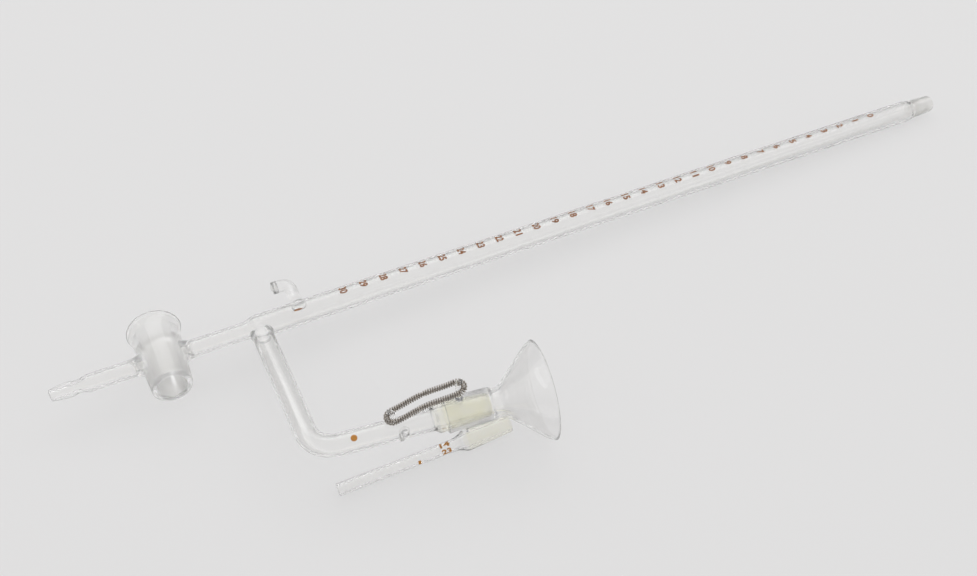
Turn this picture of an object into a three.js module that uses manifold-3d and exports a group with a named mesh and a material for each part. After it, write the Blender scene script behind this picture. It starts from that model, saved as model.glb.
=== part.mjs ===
import * as THREE from 'three';
import { mergeVertices } from 'three/addons/utils/BufferGeometryUtils.js';
import Module from 'manifold-3d';

// A side-filling glass burette that lies on a table, with a sprung filling funnel on its side
// arm and a loose stemmed cone beside it. Millimetres.
//
// The glass is drawn in the burette's own frame: +X runs along the tube towards its open top,
// with 0 at the zero mark, the side arm leaves towards -Y and +Z is the side that faces up.
// The arm's frame starts at the elbow's corner, +X along the arm towards the funnel.
// At the end everything is turned so that the glass rests on the table, +Z up.

// Graduated tube
const DIVISION = 11.5;
const DIVISIONS = 30;
const TUBE_RADIUS = 6.45;
const TUBE_WALL = 1.2;
const ZERO_TO_MOUTH = 29.5;
const LAST_MARK_TO_ARM = 47.5;
const ARM_TO_TUBE_END = 11.5;

// Ground end at the top
const MOUTH_LENGTH = 17.4;
const MOUTH_RADIUS = 5.6;
const MOUTH_BORE = 3.9;
const GROUND_TAPER = 0.05;
const MOUTH_SHOULDER = 3.2;

// T-piece and the narrow tubes below it
const SHOULDER_LENGTH = 4.5;
const NARROW_RADIUS = 4.7;
const NARROW_WALL = 1.5;
const T_LENGTH_BELOW = 10.5;

// Stopcock barrel, its axis across the tube in the plane of the side arm
const ARM_TO_BARREL = 51.1;
const BARREL_LARGE_REACH = 22.1;
const BARREL_SMALL_REACH = 21.6;
const BARREL_LARGE_RADIUS = 12.7;
const BARREL_SMALL_RADIUS = 10.5;
const BARREL_RIM_RADIUS = 14.2;
const BARREL_RIM_LENGTH = 4.2;
const BARREL_LARGE_BORE = 9.4;
const BARREL_SMALL_BORE = 7;
const BARREL_RIM_WALL = 2.3;
const PORT_RADIUS = 2;
const COLLAR_RADIUS = 6.3;
const COLLAR_LENGTH = 3;

// Outlet and its tip
const OUTLET_LENGTH = 23;
const TIP_LENGTH = 19;
const TIP_WAIST_RADIUS = 3.5;
const TIP_OLIVE_RADIUS = 4.2;
const TIP_END_RADIUS = 3.1;
const TIP_BORE = 1.7;
const TIP_PROFILE_SHARES = [
  [1, TIP_END_RADIUS], [0.55, TIP_OLIVE_RADIUS], [0.46, TIP_OLIVE_RADIUS],
  [0.3, TIP_WAIST_RADIUS], [0.2, TIP_WAIST_RADIUS], [0, NARROW_RADIUS],
];
const TIP_BORE_SHARE = 0.2;

// Side arm
const ARM_RADIUS = 5.6;
const ARM_WALL = 1.2;
const ARM_DROP = 91.2;
const ARM_BEND = 14;
const ARM_SPLAY = THREE.MathUtils.degToRad(6.8);
const ARM_BORE_HOLE = 3.9;
const ARM_RUN = 58.2;

// Ground joint between the arm and the funnel
const JOINT_START = 64.8;
const JOINT_LENGTH = 22.5;
const JOINT_SOCKET_RADIUS = 8.5;
const JOINT_BORE = 7.4;
const JOINT_CLEARANCE = 0.15;
const JOINT_CONE_BORE = 4.8;
const JOINT_SHOULDER = 2.4;
const JOINT_BEAD = 0.6;

// Funnel
const FUNNEL_NECK_LENGTH = 4;
const FUNNEL_NECK_RADIUS = 7.3;
const FUNNEL_RIM_RADIUS = 25.7;
const FUNNEL_RIM_AT = 115.3;
const FUNNEL_WALL = 1.5;
const FUNNEL_NECK_BORE = 4.6;
const FUNNEL_RIM_BEAD = 0.5;

// Glass hooks
const TUBE_HOOK_RADIUS = 3.4;
const TUBE_HOOK_ABOVE_ARM = 23.6;
const TUBE_HOOK_HEIGHT = 24.4;
const TUBE_HOOK_BEND = 5.5;
const TUBE_HOOK_REACH = 9.8;
const HORN_RADIUS = 1.2;
const HORN_TIP = 2.6;
const HORN_BEND_SHARE = 0.7;
const ARM_HOOK_FAR_AT = 39.8;
const ARM_HOOK_NEAR_AT = 43.5;
const ARM_HOOK_NEAR_REACH = 5;
const ARM_HOOK_TURN = THREE.MathUtils.degToRad(80);
const ARM_HOOK_NEAR_TURN = THREE.MathUtils.degToRad(153);
const FUNNEL_HOOK_AT = 72.8;
const FUNNEL_HOOK_NEAR_REACH = 3.8;
const FUNNEL_HOOK_TURN = THREE.MathUtils.degToRad(80);

// Retaining spring: an endless coil looped round the two far hooks
const SPRING_END_RADIUS = 3.6;
const SPRING_BOW = 0.8;
const SPRING_COIL_RADIUS = 1.15;
const SPRING_WIRE_RADIUS = 0.2;
const SPRING_TURNS = 56;
const SPRING_STEPS = 8;
const SPRING_SIDES = 5;
const SPRING_ARM_OUT = 8.4;
const SPRING_FUNNEL_OUT = 15.4;
const SPRING_FACING = THREE.MathUtils.degToRad(92);
const SPRING_SEAT_GAP = 0.6;
const SPRING_JOIN_GAP = 1.3;

// Loose stemmed cone
const ADAPTOR_STEM_LENGTH = 62;
const ADAPTOR_STEM_RADIUS = 3.25;
const ADAPTOR_STEM_BORE = 2;
const ADAPTOR_SHOULDER_LENGTH = 5;
const ADAPTOR_CONE_LENGTH = 23.5;
const ADAPTOR_CONE_RADIUS = 5.45;
const ADAPTOR_END_FROM_ELBOW_X = 96.5;
const ADAPTOR_END_FROM_ELBOW_Y = -13.3;
const ADAPTOR_HEADING = THREE.MathUtils.degToRad(-1.4);

// Gap at each fused seam, the overrun of cutting tools and how round the glass is drawn
const SEAM = 0.3;
const OVERRUN = 2;
const SIDES = 28;
const RIM_SIDES = 40;
const ROD_SIDES = 12;
const BEND_STEPS = 10;

// Places along the tube and the arm, worked out from the sizes above
const ARM_X = -(DIVISION * DIVISIONS + LAST_MARK_TO_ARM);
const BARREL_X = ARM_X - ARM_TO_BARREL;
const TUBE_START_X = ARM_X + ARM_TO_TUBE_END;
const MOUTH_X = ZERO_TO_MOUTH + MOUTH_LENGTH;
const NARROW_BORE = NARROW_RADIUS - NARROW_WALL;
const TUBE_BORE = TUBE_RADIUS - TUBE_WALL;
const ARM_BORE = ARM_RADIUS - ARM_WALL;
const JOINT_END = JOINT_START + JOINT_LENGTH;
const BARREL_MID_RADIUS = (BARREL_LARGE_RADIUS + BARREL_SMALL_RADIUS) / 2;
const HOOK_X = ARM_X + TUBE_HOOK_ABOVE_ARM;

const wasm = await Module();
wasm.setup();

const glass = () => new THREE.MeshStandardMaterial({ color: 0xdfe4e2, roughness: 0.04, metalness: 0 });
const groundGlass = () => new THREE.MeshStandardMaterial({ color: 0xd9d6b4, roughness: 0.55, metalness: 0 });
const steel = () => new THREE.MeshStandardMaterial({ color: 0x6b675f, roughness: 0.3, metalness: 1 });

// Solids and booleans

function toManifold(geometry) {
  const bare = new THREE.BufferGeometry();
  const source = geometry.index ? geometry.toNonIndexed() : geometry;
  bare.setAttribute('position', source.getAttribute('position').clone());
  const merged = mergeVertices(bare, 1e-4);
  return new wasm.Manifold(new wasm.Mesh({
    numProp: 3,
    vertProperties: new Float32Array(merged.attributes.position.array),
    triVerts: new Uint32Array(merged.index.array),
  }));
}

function fromManifold(manifold) {
  const mesh = manifold.getMesh();
  const geometry = new THREE.BufferGeometry();
  geometry.setAttribute('position', new THREE.BufferAttribute(mesh.vertProperties, 3));
  geometry.setIndex(new THREE.BufferAttribute(mesh.triVerts, 1));
  return geometry;
}

const cut = (body, ...tools) => fromManifold(
  tools.reduce((left, tool) => left.subtract(toManifold(tool)), toManifold(body)));

// Round pieces turned about +X. A profile lists [place along X, radius] from low X to high X
// on the outside; it ends on the axis, or comes back along the inside and closes on itself.
function turned(profile, sides = SIDES) {
  const points = profile.map(([x, radius]) => new THREE.Vector2(radius, x));
  if (points[0].x > 0) {
    points.push(points[0].clone());
  }
  const geometry = new THREE.LatheGeometry(points, sides);
  return geometry.rotateZ(-Math.PI / 2);
}

// A turned wall between an inner and an outer run, both from low X to high X
const wall = (inner, outer, sides) => turned([...outer, ...inner.toReversed()], sides);

const tube = (start, end, outer, inner) =>
  wall([[start, inner], [end, inner]], [[start, outer], [end, outer]]);

function rodTool(start, end, radius) {
  const geometry = new THREE.CylinderGeometry(radius, radius, end - start, SIDES);
  return geometry.rotateZ(-Math.PI / 2).translate((start + end) / 2, 0, 0);
}

// A bent rod or hollow bend: a round section carried along a curve
function bent(curve, radius, bore, sides, steps) {
  const section = new THREE.Shape().absarc(0, 0, radius, 0, 2 * Math.PI);
  if (bore > 0) {
    section.holes.push(new THREE.Path().absarc(0, 0, bore, 0, 2 * Math.PI, true));
  }
  return new THREE.ExtrudeGeometry(section, {
    steps, extrudePath: curve, bevelEnabled: false, curveSegments: sides / 2,
  });
}

// A straight run, a quarter-like bend and a second straight run in one path
function hookPath(points, bend) {
  const [start, corner, end] = points;
  const back = start.clone().sub(corner).normalize().multiplyScalar(bend).add(corner);
  const ahead = end.clone().sub(corner).normalize().multiplyScalar(bend).add(corner);
  const path = new THREE.CurvePath();
  path.add(new THREE.LineCurve3(start, back));
  path.add(new THREE.QuadraticBezierCurve3(back, corner, ahead));
  path.add(new THREE.LineCurve3(ahead, end));
  return path;
}

function piece(name, geometry, material) {
  const mesh = new THREE.Mesh(geometry, material);
  mesh.name = name;
  return mesh;
}

// The burette's tube

function groundMouth() {
  const end = MOUTH_RADIUS - GROUND_TAPER * (MOUTH_LENGTH - MOUTH_SHOULDER);
  const start = ZERO_TO_MOUTH + SEAM;
  return wall(
    [[start, TUBE_BORE], [ZERO_TO_MOUTH + MOUTH_SHOULDER, MOUTH_BORE], [MOUTH_X, MOUTH_BORE]],
    [[start, TUBE_RADIUS], [ZERO_TO_MOUTH + MOUTH_SHOULDER, MOUTH_RADIUS], [MOUTH_X, end]]);
}

const graduatedTube = () => tube(TUBE_START_X, ZERO_TO_MOUTH, TUBE_RADIUS, TUBE_BORE);

function tPiece() {
  const start = ARM_X - T_LENGTH_BELOW;
  const end = TUBE_START_X - SEAM;
  const narrowAt = ARM_X - ARM_RADIUS;
  const wideAt = narrowAt + SHOULDER_LENGTH;
  const body = wall(
    [[start, NARROW_BORE], [narrowAt, NARROW_BORE], [wideAt, TUBE_BORE], [end, TUBE_BORE]],
    [[start, NARROW_RADIUS], [narrowAt, NARROW_RADIUS], [wideAt, TUBE_RADIUS], [end, TUBE_RADIUS]]);
  const hole = new THREE.CylinderGeometry(ARM_BORE_HOLE, ARM_BORE_HOLE, TUBE_RADIUS + OVERRUN, SIDES);
  hole.translate(ARM_X, -(TUBE_RADIUS + OVERRUN) / 2, 0);
  return cut(body, hole);
}

const linkTube = () => tube(
  BARREL_X + BARREL_MID_RADIUS + COLLAR_LENGTH + SEAM,
  ARM_X - T_LENGTH_BELOW - SEAM, NARROW_RADIUS, NARROW_BORE);

// A fused bead between a narrow tube and the barrel; side is 1 above the barrel, -1 below it
function barrelCollar(side) {
  const far = BARREL_MID_RADIUS + COLLAR_LENGTH;
  const near = BARREL_MID_RADIUS - OVERRUN;
  const runs = [[near, COLLAR_RADIUS], [BARREL_MID_RADIUS, COLLAR_RADIUS], [far, NARROW_RADIUS]];
  const bores = [[near, NARROW_BORE], [far, NARROW_BORE]];
  const place = ([x, radius]) => [BARREL_X + side * x, radius];
  const order = (list) => (side > 0 ? list.map(place) : list.map(place).toReversed());
  return cut(wall(order(bores), order(runs)), barrelTool(SEAM));
}

function barrelProfile(extra) {
  const bodyEnd = BARREL_LARGE_REACH - BARREL_RIM_LENGTH;
  return [
    [-BARREL_SMALL_REACH, BARREL_SMALL_RADIUS + extra],
    [bodyEnd, BARREL_LARGE_RADIUS + extra],
    [BARREL_LARGE_REACH, BARREL_RIM_RADIUS + extra],
  ];
}

// Turned about the barrel's own axis, the large end towards +Y
const acrossTube = (geometry) => geometry.rotateZ(Math.PI / 2).translate(BARREL_X, 0, 0);

function barrelTool(extra) {
  const outline = barrelProfile(extra);
  return acrossTube(turned([[-BARREL_SMALL_REACH, 0], ...outline, [BARREL_LARGE_REACH, 0]], RIM_SIDES));
}

function stopcockBarrel() {
  const bodyEnd = BARREL_LARGE_REACH - BARREL_RIM_LENGTH;
  const bore = [
    [-BARREL_SMALL_REACH, BARREL_SMALL_BORE],
    [bodyEnd, BARREL_LARGE_BORE],
    [BARREL_LARGE_REACH, BARREL_RIM_RADIUS - BARREL_RIM_WALL],
  ];
  const body = acrossTube(wall(bore, barrelProfile(0), RIM_SIDES));
  const ports = rodTool(BARREL_X - BARREL_RIM_RADIUS, BARREL_X + BARREL_RIM_RADIUS, PORT_RADIUS);
  return cut(body, ports);
}

const OUTLET_TOP_X = BARREL_X - BARREL_MID_RADIUS - COLLAR_LENGTH - SEAM;
const TIP_TOP_X = OUTLET_TOP_X - OUTLET_LENGTH - SEAM;

const outletTube = () => tube(OUTLET_TOP_X - OUTLET_LENGTH, OUTLET_TOP_X, NARROW_RADIUS, NARROW_BORE);

function outletTip() {
  const along = (share) => TIP_TOP_X - TIP_LENGTH * share;
  return wall(
    [[along(1), TIP_BORE], [along(TIP_BORE_SHARE), TIP_BORE], [along(0), NARROW_BORE]],
    TIP_PROFILE_SHARES.map(([share, radius]) => [along(share), radius]));
}

function tubeHook() {
  const path = hookPath([
    new THREE.Vector3(HOOK_X, TUBE_BORE, 0),
    new THREE.Vector3(HOOK_X, TUBE_HOOK_HEIGHT, 0),
    new THREE.Vector3(HOOK_X - TUBE_HOOK_REACH, TUBE_HOOK_HEIGHT, 0),
  ], TUBE_HOOK_BEND);
  const clear = rodTool(HOOK_X - TUBE_HOOK_REACH, HOOK_X + TUBE_HOOK_REACH, TUBE_RADIUS + SEAM);
  return cut(bent(path, TUBE_HOOK_RADIUS, 0, ROD_SIDES, BEND_STEPS), clear);
}

// The side arm

const ELBOW = new THREE.Vector3(ARM_X, -ARM_DROP, 0);
const BEND_TANGENT = ARM_BEND * Math.tan((Math.PI / 2 - ARM_SPLAY) / 2);

function armDrop() {
  const length = ARM_DROP - BEND_TANGENT - SEAM;
  const body = tube(0, length, ARM_RADIUS, ARM_BORE).rotateZ(-Math.PI / 2).translate(ARM_X, 0, 0);
  const clear = rodTool(ARM_X - ARM_RADIUS - OVERRUN, ARM_X + ARM_RADIUS + OVERRUN, TUBE_RADIUS + SEAM);
  return cut(body, clear);
}

function armElbow() {
  const centre = new THREE.Vector3(ARM_X + ARM_BEND, -ARM_DROP + BEND_TANGENT, 0);
  const turn = Math.PI / 2 - ARM_SPLAY;
  const arc = new THREE.Curve();
  arc.getPoint = (t, target = new THREE.Vector3()) => {
    const angle = Math.PI + turn * t;
    return target.set(Math.cos(angle), Math.sin(angle), 0).multiplyScalar(ARM_BEND).add(centre);
  };
  return bent(arc, ARM_RADIUS, ARM_BORE, SIDES, BEND_STEPS);
}

const armRun = () => tube(BEND_TANGENT + SEAM, ARM_RUN, ARM_RADIUS, ARM_BORE);

const jointBoreAt = (x) => JOINT_BORE - GROUND_TAPER * (x - JOINT_START);

function armCone() {
  const start = ARM_RUN + SEAM;
  const wide = start + JOINT_SHOULDER;
  const end = JOINT_END - SEAM;
  return wall(
    [[start, ARM_BORE], [wide, JOINT_CONE_BORE], [end, JOINT_CONE_BORE]],
    [
      [start, ARM_RADIUS], [wide, jointBoreAt(wide) - JOINT_CLEARANCE],
      [end, jointBoreAt(end) - JOINT_CLEARANCE],
    ]);
}

// A short glass horn on the arm or the socket, its tip bent away from the joint
function horn(at, base, top, turn, lean) {
  const path = hookPath([
    new THREE.Vector3(at, base - ARM_WALL, 0),
    new THREE.Vector3(at, top, 0),
    new THREE.Vector3(at + lean * HORN_TIP, top, 0),
  ], HORN_TIP * HORN_BEND_SHARE);
  const clear = rodTool(at - OVERRUN * HORN_TIP, at + OVERRUN * HORN_TIP, base + SEAM);
  return cut(bent(path, HORN_RADIUS, 0, ROD_SIDES, BEND_STEPS).rotateX(turn), clear);
}

// A horn that holds the spring reaches over the coil
const overCoil = (out) => out + SPRING_COIL_RADIUS + SPRING_WIRE_RADIUS + SPRING_SEAT_GAP + HORN_RADIUS;

const armHookFar = () => horn(
  ARM_HOOK_FAR_AT, ARM_RADIUS, overCoil(SPRING_ARM_OUT), ARM_HOOK_TURN, -1);
const armHookNear = () => horn(
  ARM_HOOK_NEAR_AT, ARM_RADIUS, ARM_RADIUS + ARM_HOOK_NEAR_REACH, ARM_HOOK_NEAR_TURN, -1);
const funnelHookFar = () => horn(
  FUNNEL_HOOK_AT, JOINT_SOCKET_RADIUS, overCoil(SPRING_FUNNEL_OUT), FUNNEL_HOOK_TURN, 1);
const funnelHookNear = () => horn(
  FUNNEL_HOOK_AT, JOINT_SOCKET_RADIUS, JOINT_SOCKET_RADIUS + FUNNEL_HOOK_NEAR_REACH,
  FUNNEL_HOOK_TURN + Math.PI, 1);

// The funnel

const funnelSocket = () => wall(
  [[JOINT_START, jointBoreAt(JOINT_START)], [JOINT_END, jointBoreAt(JOINT_END)]],
  [
    [JOINT_START, JOINT_SOCKET_RADIUS], [JOINT_START + JOINT_BEAD, JOINT_SOCKET_RADIUS + JOINT_BEAD / 2],
    [JOINT_START + 2 * JOINT_BEAD, JOINT_SOCKET_RADIUS], [JOINT_END, JOINT_SOCKET_RADIUS],
  ]);

const NECK_END = JOINT_END + SEAM + FUNNEL_NECK_LENGTH;

const funnelNeck = () => wall(
  [[JOINT_END + SEAM, FUNNEL_NECK_BORE], [NECK_END, FUNNEL_NECK_BORE]],
  [[JOINT_END + SEAM, JOINT_SOCKET_RADIUS], [NECK_END, FUNNEL_NECK_RADIUS]]);

function funnelBowl() {
  const start = NECK_END + SEAM;
  const length = FUNNEL_RIM_AT - start;
  const flareShares = [[0, 0], [0.18, 0.14], [0.5, 0.5], [0.82, 0.88], [1, 1]];
  const outer = flareShares.map(([along, out]) =>
    [start + length * along, FUNNEL_NECK_RADIUS + (FUNNEL_RIM_RADIUS - FUNNEL_NECK_RADIUS) * out]);
  const rimBore = FUNNEL_RIM_RADIUS - FUNNEL_WALL - FUNNEL_RIM_BEAD;
  const inner = flareShares.map(([along, out]) =>
    [start + length * along, FUNNEL_NECK_BORE + (rimBore - FUNNEL_NECK_BORE) * out]);
  return wall(inner, outer, RIM_SIDES);
}

// The spring: a coil wound round a closed racetrack, in the arm's frame

function springCentre() {
  const radial = (at, out, turn) => new THREE.Vector3(at, out * Math.cos(turn), out * Math.sin(turn));
  const seat = SPRING_END_RADIUS - SPRING_COIL_RADIUS - SPRING_WIRE_RADIUS - HORN_RADIUS - SPRING_SEAT_GAP;
  const first = radial(ARM_HOOK_FAR_AT + seat, SPRING_ARM_OUT, ARM_HOOK_TURN);
  const second = radial(FUNNEL_HOOK_AT - seat, SPRING_FUNNEL_OUT, FUNNEL_HOOK_TURN);
  const ahead = second.clone().sub(first);
  const span = ahead.length();
  ahead.normalize();
  const facing = new THREE.Vector3(0, Math.cos(SPRING_FACING), Math.sin(SPRING_FACING));
  const normal = facing.addScaledVector(ahead, -facing.dot(ahead)).normalize();
  const across = normal.clone().cross(ahead);
  const halfRound = Math.PI * SPRING_END_RADIUS;
  const total = 2 * span + 2 * halfRound;
  const at = (along, up) => first.clone().addScaledVector(ahead, along).addScaledVector(across, up);
  // Distance along the loop, from the middle of the upper strand; both strands bow a little
  const point = (distance) => {
    const s = ((distance % total) + total) % total;
    const bow = (share) => SPRING_BOW * Math.sin(Math.PI * share) ** 2;
    if (s < span / 2) {
      return at(span / 2 + s, SPRING_END_RADIUS + bow(0.5 + s / span));
    }
    if (s < span / 2 + halfRound) {
      const angle = Math.PI / 2 - (s - span / 2) / SPRING_END_RADIUS;
      return at(span + SPRING_END_RADIUS * Math.cos(angle), SPRING_END_RADIUS * Math.sin(angle));
    }
    if (s < 1.5 * span + halfRound) {
      const back = span - (s - span / 2 - halfRound);
      return at(back, bow(back / span) - SPRING_END_RADIUS);
    }
    if (s < 1.5 * span + 2 * halfRound) {
      const angle = -Math.PI / 2 - (s - 1.5 * span - halfRound) / SPRING_END_RADIUS;
      return at(SPRING_END_RADIUS * Math.cos(angle), SPRING_END_RADIUS * Math.sin(angle));
    }
    const left = s - 1.5 * span - 2 * halfRound;
    return at(left, SPRING_END_RADIUS + bow(left / span));
  };
  return { point, total, normal };
}

function springWire() {
  const { point, total, normal } = springCentre();
  const length = total - SPRING_JOIN_GAP;
  const count = SPRING_TURNS * SPRING_STEPS;
  const step = length / count;
  const wire = [];
  for (let i = 0; i <= count; i += 1) {
    const distance = SPRING_JOIN_GAP / 2 + i * step;
    const tangent = point(distance + step).sub(point(distance - step)).normalize();
    const side = tangent.clone().cross(normal).normalize();
    const angle = 2 * Math.PI * i / SPRING_STEPS;
    wire.push(point(distance)
      .addScaledVector(normal, SPRING_COIL_RADIUS * Math.cos(angle))
      .addScaledVector(side, SPRING_COIL_RADIUS * Math.sin(angle)));
  }
  return wire;
}

// Least distance between two points of the wire that are over half a turn apart, less the wire
function leastGap(points) {
  let least = Infinity;
  const apart = SPRING_STEPS / 2;
  for (let i = 0; i < points.length; i += 1) {
    for (let j = i + apart; j < points.length; j += 1) {
      least = Math.min(least, points[i].distanceTo(points[j]));
    }
  }
  return least - 2 * SPRING_WIRE_RADIUS;
}

function spring() {
  const points = springWire();
  console.log(`spring: least gap to itself ${leastGap(points).toFixed(2)} mm`);
  const positions = [];
  const index = [];
  const last = points.length - 1;
  let normal = new THREE.Vector3(0, 0, 1);
  points.forEach((point, i) => {
    const tangent = points[Math.min(i + 1, last)].clone().sub(points[Math.max(i - 1, 0)]).normalize();
    normal = normal.addScaledVector(tangent, -normal.dot(tangent)).normalize();
    const side = tangent.clone().cross(normal);
    for (let k = 0; k < SPRING_SIDES; k += 1) {
      const angle = 2 * Math.PI * k / SPRING_SIDES;
      const corner = point.clone()
        .addScaledVector(normal, SPRING_WIRE_RADIUS * Math.cos(angle))
        .addScaledVector(side, SPRING_WIRE_RADIUS * Math.sin(angle));
      positions.push(corner.x, corner.y, corner.z);
    }
  });
  for (let i = 0; i < last; i += 1) {
    for (let k = 0; k < SPRING_SIDES; k += 1) {
      const a = i * SPRING_SIDES + k;
      const b = i * SPRING_SIDES + (k + 1) % SPRING_SIDES;
      index.push(a, b, a + SPRING_SIDES, b, b + SPRING_SIDES, a + SPRING_SIDES);
    }
  }
  const end = last * SPRING_SIDES;
  for (let k = 1; k < SPRING_SIDES - 1; k += 1) {
    index.push(0, k + 1, k, end, end + k, end + k + 1);
  }
  const geometry = new THREE.BufferGeometry();
  geometry.setAttribute('position', new THREE.Float32BufferAttribute(positions, 3));
  geometry.setIndex(index);
  return geometry;
}

// The loose stemmed cone, its axis along +X from the stem's open end

const ADAPTOR_SHOULDER_X = ADAPTOR_STEM_LENGTH + SEAM;
const ADAPTOR_CONE_X = ADAPTOR_SHOULDER_X + ADAPTOR_SHOULDER_LENGTH + SEAM;

const adaptorStem = () => tube(0, ADAPTOR_STEM_LENGTH, ADAPTOR_STEM_RADIUS, ADAPTOR_STEM_BORE);

const adaptorShoulder = () => wall(
  [[ADAPTOR_SHOULDER_X, ADAPTOR_STEM_BORE], [ADAPTOR_CONE_X - SEAM, ADAPTOR_STEM_BORE]],
  [[ADAPTOR_SHOULDER_X, ADAPTOR_STEM_RADIUS], [ADAPTOR_CONE_X - SEAM, ADAPTOR_CONE_RADIUS]]);

function adaptorCone() {
  const end = ADAPTOR_CONE_X + ADAPTOR_CONE_LENGTH;
  return wall(
    [[ADAPTOR_CONE_X, ADAPTOR_STEM_BORE], [end, ADAPTOR_STEM_BORE]],
    [
      [ADAPTOR_CONE_X, ADAPTOR_CONE_RADIUS],
      [end, ADAPTOR_CONE_RADIUS - GROUND_TAPER * ADAPTOR_CONE_LENGTH],
    ]);
}

// Assembly in the burette's frame

const burette = new THREE.Group();
burette.add(
  piece('ground_mouth', groundMouth(), groundGlass()),
  piece('graduated_tube', graduatedTube(), glass()),
  piece('t_piece', tPiece(), glass()),
  piece('link_tube', linkTube(), glass()),
  piece('barrel_collar_upper', barrelCollar(1), glass()),
  piece('stopcock_barrel', stopcockBarrel(), glass()),
  piece('barrel_collar_lower', barrelCollar(-1), glass()),
  piece('outlet_tube', outletTube(), glass()),
  piece('outlet_tip', outletTip(), glass()),
  piece('tube_hook', tubeHook(), glass()),
  piece('arm_drop', armDrop(), glass()),
  piece('arm_elbow', armElbow(), glass()),
);

const arm = new THREE.Group();
arm.position.copy(ELBOW);
arm.rotation.z = -ARM_SPLAY;
arm.add(
  piece('arm_run', armRun(), glass()),
  piece('arm_cone', armCone(), groundGlass()),
  piece('arm_hook_far', armHookFar(), glass()),
  piece('arm_hook_near', armHookNear(), glass()),
  piece('funnel_socket', funnelSocket(), groundGlass()),
  piece('funnel_neck', funnelNeck(), glass()),
  piece('funnel_bowl', funnelBowl(), glass()),
  piece('funnel_hook_far', funnelHookFar(), glass()),
  piece('funnel_hook_near', funnelHookNear(), glass()),
  piece('retaining_spring', spring(), steel()),
);
burette.add(arm);

// Rest on the table: the plane that touches the tube's top end, the barrel's wide rim and the
// funnel's rim. Each round edge touches with its lowest point, which the loop refines.
function restingUp() {
  const armAxis = new THREE.Vector3(1, 0, 0).applyAxisAngle(new THREE.Vector3(0, 0, 1), -ARM_SPLAY);
  const edges = [
    { centre: new THREE.Vector3(ZERO_TO_MOUTH, 0, 0), axis: new THREE.Vector3(1, 0, 0), radius: TUBE_RADIUS },
    {
      centre: new THREE.Vector3(BARREL_X, BARREL_LARGE_REACH, 0),
      axis: new THREE.Vector3(0, 1, 0), radius: BARREL_RIM_RADIUS,
    },
    {
      centre: armAxis.clone().multiplyScalar(FUNNEL_RIM_AT).add(ELBOW),
      axis: armAxis, radius: FUNNEL_RIM_RADIUS,
    },
  ];
  const up = new THREE.Vector3(0, 0, 1);
  const rounds = 12;
  for (let i = 0; i < rounds; i += 1) {
    const feet = edges.map(({ centre, axis, radius }) => {
      const down = axis.clone().multiplyScalar(up.dot(axis)).sub(up).normalize();
      return down.multiplyScalar(radius).add(centre);
    });
    up.copy(feet[1].sub(feet[0]).cross(feet[2].sub(feet[0]))).normalize();
    if (up.z < 0) {
      up.negate();
    }
  }
  return up;
}

const up = restingUp();
const along = new THREE.Vector3(1, 0, 0).addScaledVector(up, -up.x).normalize();
const basis = new THREE.Matrix4().makeBasis(along, up.clone().cross(along), up);
burette.quaternion.setFromRotationMatrix(basis.transpose());
burette.updateMatrixWorld(true);
burette.position.z = -new THREE.Box3().setFromObject(burette, true).min.z;

// The loose cone lies on the same table, on its wide end and its stem's end
const adaptor = new THREE.Group();
adaptor.add(
  piece('adaptor_stem', adaptorStem(), glass()),
  piece('adaptor_shoulder', adaptorShoulder(), glass()),
  piece('adaptor_cone', adaptorCone(), groundGlass()),
);
const lean = Math.asin((ADAPTOR_CONE_RADIUS - ADAPTOR_STEM_RADIUS) / ADAPTOR_CONE_X);
const elbowPlace = ELBOW.clone().applyQuaternion(burette.quaternion);
adaptor.rotation.set(0, -lean, ADAPTOR_HEADING, 'ZYX');
const reach = new THREE.Vector3(ADAPTOR_CONE_X + ADAPTOR_CONE_LENGTH, 0, 0).applyEuler(adaptor.rotation);
adaptor.position.set(
  elbowPlace.x + ADAPTOR_END_FROM_ELBOW_X - reach.x, elbowPlace.y + ADAPTOR_END_FROM_ELBOW_Y - reach.y, 0);
adaptor.updateMatrixWorld(true);
adaptor.position.z = -new THREE.Box3().setFromObject(adaptor, true).min.z;

// Origin: the middle of the whole, at table height
const assembly = new THREE.Group();
assembly.add(burette, adaptor);
assembly.updateMatrixWorld(true);
const whole = new THREE.Box3().setFromObject(assembly, true);
assembly.position.set(-(whole.min.x + whole.max.x) / 2, -(whole.min.y + whole.max.y) / 2, 0);

export default assembly;
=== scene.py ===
"""Looks of a side-filling glass burette that lies on a table.

The solids are loaded as a fixed frame. Each operator makes one piece, or one group of like
pieces. It is drawn in millimetres in the frame of its own glass, then placed in the row frame.
"""

import math

import bmesh
import bpy
from mathutils import Matrix, Vector


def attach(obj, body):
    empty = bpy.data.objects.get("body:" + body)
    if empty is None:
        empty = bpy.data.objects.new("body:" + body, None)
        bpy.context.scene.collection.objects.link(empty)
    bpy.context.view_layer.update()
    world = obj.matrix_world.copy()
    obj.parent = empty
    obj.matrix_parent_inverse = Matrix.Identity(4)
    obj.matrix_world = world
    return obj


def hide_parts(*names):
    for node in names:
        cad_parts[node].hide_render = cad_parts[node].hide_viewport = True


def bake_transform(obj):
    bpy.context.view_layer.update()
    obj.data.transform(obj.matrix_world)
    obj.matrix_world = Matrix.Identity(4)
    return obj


bl_info = {
    "name": "Burette looks",
    "version": (1, 0, 0),
    "blender": (4, 5, 0),
    "location": "View3D > Sidebar > Burette",
    "description": "Glass, scale, spring and stage of a side-filling burette",
    "category": "Object",
}

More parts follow.
